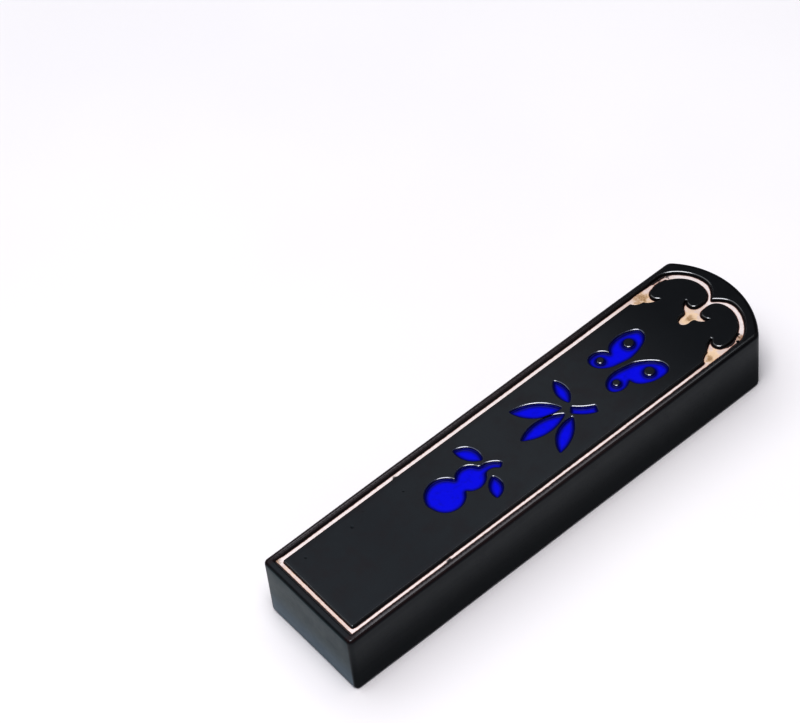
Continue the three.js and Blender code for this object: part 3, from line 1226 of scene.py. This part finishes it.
@dataclass
class Gourd:
    """The lower picture: a bottle gourd on its bent stalk between two leaves."""

    centre: Point = (-0.3, -13.8)
    body_y: float = -4.3
    body_radius: float = 3.55
    body_open: float = 1.14
    crown_y: float = 1.35
    crown_radius: float = 2.65
    crown_open: float = 1.24
    rounding: int = 5
    step: float = 0.16

    def fruit(self) -> Outline:
        """Draw the gourd and its stalk.

        Returns:
            Their outline.
        """
        body, crown = (0, self.body_y), (0, self.crown_y)
        neck = math.acos(math.cos(self.body_open) * self.body_radius / self.crown_radius)
        loop = Outline(step=self.step).start(0, self.body_y - self.body_radius)
        loop.turn(body, math.pi / 2 + self.body_open)
        loop.turn(crown, neck + self.crown_open)
        loop.strokes((0.75, 5.2, 1.1, 5.9, 2.1, 6.6), (1.3, 7.6), (0, 6.7, -0.62, 5.6, -0.62, 4.1))
        turned = math.pi - self.crown_open
        loop.line(self.crown_radius * math.cos(turned), self.crown_y + self.crown_radius * math.sin(turned))
        loop.turn(crown, neck + self.crown_open)
        loop.turn(body, math.pi / 2 + self.body_open)
        return loop.closed().softened(self.rounding).moved(self.centre)

    def parts(self) -> list[SunkPart]:
        """Return a recess for the gourd and for each leaf."""
        leaves = Leaves(self.centre, {
            "blue_gourd_leaf_left": ((-1.4, 5.4), (-6.4, 2.9), 0.6, 0.38),
            "blue_gourd_leaf_right": ((2.5, 4.4), (6.5, 1.9), 0.42, 0.62),
        })
        return [SunkPart("blue_gourd", self.fruit()), *leaves.parts()]


# -------------------------------------------------------------------------------------- the sub-assemblies


@dataclass
class InkBlock:
    """The pressed block, rounded at every edge and arched at the head, with its recesses."""

    border: BorderLine
    pictures: list[SunkPart]
    moulding: Moulding
    head_rise: float = 4.8
    edge_radius: float = 0.75
    edge_segments: int = 8
    edge_wear: float = 1.0
    wear_start: float = 0.35
    hold: float = 0.05
    tail_corner_radius: float = 0.95
    shoulder_radius: float = 1.6
    side_step: float = 2.0
    round_step: float = 0.25
    face_pitch: float = 1.6

    def __post_init__(self) -> None:
        """Take the block's length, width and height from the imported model."""
        self.half_width, self.half_length, self.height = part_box("ink_block")[1] / MM

    def outline(self, inset: float) -> Outline:
        """Draw the block's plan.

        Args:
            inset: How far inside its widest outline.

        Returns:
            The outline, with the same number of points at every inset.
        """
        head_radius = (self.half_width ** 2 + self.head_rise ** 2) / (2 * self.head_rise)
        head_y = self.half_length - head_radius
        shoulder_x = self.half_width - self.shoulder_radius
        shoulder_y = head_y + math.sqrt((head_radius - self.shoulder_radius) ** 2 - shoulder_x ** 2)
        shoulder_angle = math.atan2(shoulder_y - head_y, shoulder_x)
        tail = Vector((self.half_width - self.tail_corner_radius, self.tail_corner_radius - self.half_length))
        points: list[Vector] = []

        def sweep(centre: Sequence[float], radius: float, start: float, end: float) -> None:
            """Add an arc's points, their number set by its full radius.

            Args:
                centre: The arc's middle.
                radius: Its radius where nothing is inset.
                start: The angle it starts at.
                end: The angle it ends at.
            """
            count = max(4, round(abs(end - start) * radius / self.round_step))
            for i in range(count + 1):
                angle = start + (end - start) * i / count
                ray = Vector((math.cos(angle), math.sin(angle)))
                points.append(Vector(centre) + ray * (radius - inset))

        def run(to: Vector) -> None:
            """Add the points of a straight side, their number set by its full length.

            Args:
                to: Where the side ends, which the next arc adds.
            """
            here = points[-1]
            count = max(1, round((to - here).length / self.side_step))
            points.extend(here.lerp(to, i / count) for i in range(1, count))

        sweep(tail, self.tail_corner_radius, -math.pi / 2, 0)
        run(Vector((self.half_width - inset, shoulder_y)))
        sweep((shoulder_x, shoulder_y), self.shoulder_radius, 0, shoulder_angle)
        sweep((0, head_y), head_radius, shoulder_angle, math.pi - shoulder_angle)
        sweep((-shoulder_x, shoulder_y), self.shoulder_radius, math.pi - shoulder_angle, math.pi)
        run(Vector((inset - self.half_width, tail.y)))
        sweep((-tail.x, tail.y), self.tail_corner_radius, math.pi, 1.5 * math.pi)
        run(Vector((tail.x, inset - self.half_length)))
        return Outline(points)

    def section(self) -> list[Point]:
        """Work out the section of the block's side.

        Returns:
            How far in and how high each corner of the section lies, from the underside to the face.
        """
        radius, flat = self.edge_radius, self.edge_radius + self.hold
        quarter = [math.pi / 2 * i / self.edge_segments for i in range(self.edge_segments + 1)]
        lower = [(radius * (1 - math.sin(a)), radius * (1 - math.cos(a))) for a in quarter]
        upper = [(inset, self.height - z) for inset, z in reversed(lower)]
        count = round((self.height - 2 * radius) / self.side_step)
        low, high = lower[-1][1], upper[0][1]
        side = [(0.0, low + (high - low) * i / count) for i in range(1, count)]
        return [(flat, 0.0), *lower, *side, *upper, (flat, self.height)]

    def build(self) -> bpy.types.Object:
        """Build the block.

        Returns:
            The finished piece.
        """
        mesh = bmesh.new()
        mesh.verts.layers.float.new(WASH)
        worn = mesh.verts.layers.float.new(WORN)
        rings: list[Ring] = []
        for inset, height in self.section():
            add_ring(mesh, rings, self.outline(inset).points, height)
            for vert in rings[-1].verts:
                on_side = abs(vert.co.x) > self.half_width - self.edge_radius - self.hold
                is_worn = self.wear_start < inset / self.edge_radius <= 1.0 and on_side
                vert[worn] = self.edge_wear if is_worn else 0.0
        fill(mesh, rings[0])
        line_top, line_floor = self.moulding.wall(mesh, self.border.outer_loop(), self.height, True)
        field_top, field_floor = self.moulding.wall(mesh, self.border.field_loop(), self.height, False)
        fill(mesh, rings[-1], line_top)
        fill(mesh, line_floor, field_floor)
        openings = []
        for part in self.pictures:
            top, floor = self.moulding.wall(mesh, part.loop, self.height, True, painted=True)
            islands = [self.moulding.wall(mesh, i, self.height, False, painted=True) for i in part.islands]
            fill(mesh, floor, *(low for _, low in islands))
            for high, _ in islands:
                fill(mesh, high)
            openings.append(top)
        fill(mesh, field_top, *openings)
        refine(mesh, self.height, self.face_pitch)
        refine(mesh, 0.0, self.face_pitch)
        made = piece("moulded_ink", mesh, InkFinish().material())
        fitted(made, "ink", "ink_block")
        return made


@dataclass
class Film:
    """A coat of paint on a recess's floor, that creeps up the walls and bellies a little between them."""

    thickness: float
    unevenness: float
    creep: float
    creep_reach: float
    pitch: float
    gap: float = 0.012
    brush_size: float = 0.8
    patch_size: float = 1.7
    least: float = 0.004

    def sheet(
        self, moulding: Moulding, floor: float, loops: Sequence[tuple[Outline, bool]],
    ) -> bmesh.types.BMesh:
        """Lay a flat sheet on a recess's floor.

        Args:
            moulding: The recess's walls.
            floor: How high the floor lies.
            loops: Each loop round the recess, and whether the recess is inside it.

        Returns:
            The sheet's mesh, with even, fine faces.
        """
        mesh = bmesh.new()
        rings = []
        for loop, recess_inside in loops:
            into = (moulding.draft + self.gap) * (1 if recess_inside else -1)
            points = [p + w * into for p, w in zip(loop.points, loop.inward())]
            rings.append(Ring.drawn(mesh, points, floor))
        fill(mesh, *rings)
        refine(mesh, floor, self.pitch)
        return mesh

    def trim(self, mesh: bmesh.types.BMesh) -> None:
        """Take away the faces round every point where a torn sheet hangs together by a corner only.

        Args:
            mesh: The sheet.
        """
        while True:
            corners = [v for v in mesh.verts if sum(e.is_boundary for e in v.link_edges) > 2]
            if not corners:
                return
            spare = list({f for v in corners for f in v.link_faces})
            bmesh.ops.delete(mesh, geom=spare, context="FACES")

    def drop_scraps(self, mesh: bmesh.types.BMesh) -> None:
        """Take away the loose scraps of a torn sheet and leave its largest stretch.

        Args:
            mesh: The sheet.
        """
        stretches: list[set[bmesh.types.BMFace]] = []
        waiting = set(mesh.faces)
        while waiting:
            front = {waiting.pop()}
            stretch = set()
            while front:
                face = front.pop()
                stretch.add(face)
                front |= {near for edge in face.edges for near in edge.link_faces if near in waiting}
                waiting -= front
            stretches.append(stretch)
        largest = max(stretches, key=len)
        bmesh.ops.delete(mesh, geom=[f for f in mesh.faces if f not in largest], context="FACES")

    def rise(self, mesh: bmesh.types.BMesh, floor: float, loops: Sequence[tuple[Outline, bool]]) -> None:
        """Give a flat sheet its thickness.

        Args:
            mesh: The sheet.
            floor: How high it lies.
            loops: The loops round the recess.
        """
        sample = 0.05
        posts = []
        for loop, _ in loops:
            for a, b in zip(loop.points, loop.points[1:] + loop.points[:1]):
                count = max(1, math.ceil((b - a).length / sample))
                posts += [a.lerp(b, i / count) for i in range(count)]
        walls = kdtree.KDTree(len(posts))
        for i, post in enumerate(posts):
            walls.insert((post.x, post.y, 0), i)
        walls.balance()
        distance = mesh.verts.layers.float.new(WALL)
        made = bmesh.ops.extrude_face_region(mesh, geom=mesh.faces[:])
        for vert in (part for part in made["geom"] if isinstance(part, bmesh.types.BMVert)):
            place = Vector((vert.co.x, vert.co.y, 0))
            away = walls.find(place)[2]
            patchy = 0.85 + 0.3 * noise.noise(place / self.patch_size)
            brushed = self.unevenness * noise.noise(place / self.brush_size)
            creep = self.creep * patchy * math.exp(-((away / self.creep_reach) ** 2))
            vert.co.z = floor + self.thickness + brushed + creep
            vert[distance] = away
        for vert in mesh.verts:
            vert.co.z = max(vert.co.z, floor + self.least)


@dataclass
class Gilding:
    """The gilded line, in the two stretches that wear at the shoulders has parted."""

    border: BorderLine
    moulding: Moulding
    film: Film = field(default_factory=lambda: Film(
        thickness=0.07, unevenness=0.02, creep=0.04, creep_reach=0.1, pitch=0.3,
    ))
    break_y: float = 42.4
    break_gap: float = 0.1
    break_wander: float = 1.6
    crook_size: float = 0.9
    crook_layer: float = 5.0
    pendant_reach: float = 4.0
    pendant_end: float = 36.0

    def past_break(self, place: Vector) -> float:
        """Return how far a place is past the crooked line along which the gilding has parted."""
        crook = noise.noise(Vector((place.x, place.y, self.crook_layer)) / self.crook_size)
        return place.y - self.break_y + self.break_wander * crook

    def is_arch(self, place: Vector) -> bool:
        """Return whether a place belongs to the arches and the finial that hangs from them."""
        hanging = abs(place.x) < self.pendant_reach and place.y > self.pendant_end
        return hanging or self.past_break(place) > 0

    def is_worn(self, place: Vector) -> bool:
        """Return whether the line is worn through at a place, raggedly, near a shoulder."""
        return abs(place.x) >= self.pendant_reach and abs(self.past_break(place)) < self.break_gap

    def build(self) -> list[bpy.types.Object]:
        """Build both stretches.

        Returns:
            The finished pieces.
        """
        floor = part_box("gilt_border")[0].z / MM
        loops = [(self.border.outer_loop(), True), (self.border.field_loop(), False)]
        finish = GiltFinish().material()
        made = []
        stretches = (("gilding_border", "gilt_border", False), ("gilding_arches", "gilt_arches", True))
        for name, node, arches in stretches:
            mesh = self.film.sheet(self.moulding, floor, loops)
            spare = [
                f for f in mesh.faces
                if self.is_arch(f.calc_center_median()) != arches or self.is_worn(f.calc_center_median())
            ]
            bmesh.ops.delete(mesh, geom=spare, context="FACES")
            self.film.trim(mesh)
            self.film.drop_scraps(mesh)
            self.film.rise(mesh, floor, loops)
            made.append(piece(name, mesh, finish))
            fitted(made[-1], "gilding", node)
        return made


@dataclass
class Pigment:
    """The blue paint in the pictures."""

    parts: list[SunkPart]
    moulding: Moulding
    film: Film = field(default_factory=lambda: Film(
        thickness=0.12, unevenness=0.012, creep=0.52, creep_reach=0.16, pitch=0.2,
    ))

    def build(self) -> list[bpy.types.Object]:
        """Build the paint of every recess.

        Returns:
            The finished pieces.
        """
        finish = BlueFinish().material()
        made = []
        for part in self.parts:
            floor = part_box(part.name)[0].z / MM
            loops = [(part.loop, True), *((island, False) for island in part.islands)]
            mesh = self.film.sheet(self.moulding, floor, loops)
            self.film.rise(mesh, floor, loops)
            made.append(piece(part.name.replace("blue", "pigment"), mesh, finish))
            fitted(made[-1], "blue_pigment", part.name)
        return made


# ---------------------------------------------------------------------------------------------- the studio


@dataclass(frozen=True)
class Softbox:
    """A square light: its direction from the stick, distance and width in metres, power and colour."""

    way: Way
    distance: float
    width: float
    power: float
    colour: Colour


class Source(Enum):
    """The studio's lights."""

    KEY = Softbox((0.13, -0.12, 0.98), distance=0.75, width=0.34, power=2.7, colour=(1.0, 0.97, 0.98))
    OVERHEAD = Softbox((-0.27, -0.06, 1.0), distance=1.1, width=1.2, power=5.4, colour=(0.97, 0.98, 1.0))


@dataclass
class Studio:
    """A plain pale table under soft light."""

    floor_half: float = 3.0
    backdrop: Colour = (0.86, 0.86, 0.88)
    room: Colour = (0.12, 0.124, 0.135)

    def floor(self) -> None:
        """Lay the table."""
        mesh = bmesh.new()
        bmesh.ops.create_grid(mesh, x_segments=1, y_segments=1, size=self.floor_half)
        table = dressed("table_top", mesh, FloorFinish().material())

    def lights(self) -> None:
        """Hang the lights."""
        low, high = CAD_BOX
        middle = (low + high) / 2
        for source in Source:
            box = source.value
            direction = Vector(box.way).normalized()
            lamp = bpy.data.lights.new(source.name.lower(), "AREA")
            lamp.shape = "SQUARE"
            lamp.size = box.width
            lamp.energy = box.power
            lamp.color = box.colour
            holder = put(source.name.lower(), lamp)
            holder.location = middle + direction * box.distance
            holder.rotation_mode = "QUATERNION"
            holder.rotation_quaternion = (-direction).to_track_quat("-Z", "Y")

    def room_light(self) -> None:
        """Light the room dimly, behind a pale backdrop that only the eye sees."""
        world = bpy.data.worlds.new("studio_room")
        bpy.context.scene.world = world
        world.use_nodes = True
        tree = world.node_tree
        tree.nodes.clear()
        rays = tree.nodes.new("ShaderNodeLightPath")
        output = tree.nodes.new("ShaderNodeOutputWorld")
        choice = tree.nodes.new("ShaderNodeMixShader")
        tree.links.new(rays.outputs["Is Camera Ray"], choice.inputs[0])
        for i, colour in enumerate((self.room, self.backdrop)):
            background = tree.nodes.new("ShaderNodeBackground")
            background.inputs["Color"].default_value = (*colour, 1.0)
            tree.links.new(background.outputs[0], choice.inputs[i + 1])
        tree.links.new(choice.outputs[0], output.inputs["Surface"])

    def build(self) -> None:
        """Set up the table and the light."""
        self.floor()
        self.lights()
        self.room_light()
        bpy.context.scene.view_settings.view_transform = "Standard"
        bpy.context.scene.view_settings.look = "High Contrast"


@dataclass
class Eye:
    """The camera: where it looks on the upper face, from how far and from what angle."""

    aim: Point = (-28.17, -4.85)
    distance: float = 616.4
    azimuth: float = 55.59
    elevation: float = 52.14
    roll: float = 7.50
    lens: float = 155.2
    nearest: float = 0.01
    farthest: float = 20.0

    def build(self) -> None:
        """Set up the camera."""
        camera = bpy.data.cameras.new("eye")
        camera.lens = self.lens
        camera.clip_start = self.nearest
        camera.clip_end = self.farthest
        holder = put("eye", camera)
        turn, lift, tilt = (math.radians(a) for a in (self.azimuth, self.elevation, self.roll))
        back = Vector((math.sin(turn) * math.cos(lift), -math.cos(turn) * math.cos(lift), math.sin(lift)))
        level = Vector((0, 0, 1)).cross(back).normalized()
        right = level * math.cos(tilt) - back.cross(level) * math.sin(tilt)
        face = CAD_BOX[1].z
        place = Vector((self.aim[0] * MM, self.aim[1] * MM, face)) + back * self.distance * MM
        axes = Matrix((right, back.cross(right), back)).transposed()
        holder.matrix_world = Matrix.Translation(place) @ axes.to_4x4()
        bpy.context.scene.camera = holder


def main() -> None:
    """Build the ink stick and its studio."""
    noise.seed_set(DRYING_SEED)
    Eye().build()
    Studio().build()
    moulding = Moulding()
    border = BorderLine()
    pictures = [*Butterfly().parts(), *BambooSpray().parts(), *Gourd().parts()]
    made = [InkBlock(border, pictures, moulding).build()]
    made += Gilding(border, moulding).build()
    made += Pigment(pictures, moulding).build()


if __name__ == "__main__":
    logging.basicConfig(level=logging.INFO, format="%(name)s: %(message)s")
    main()
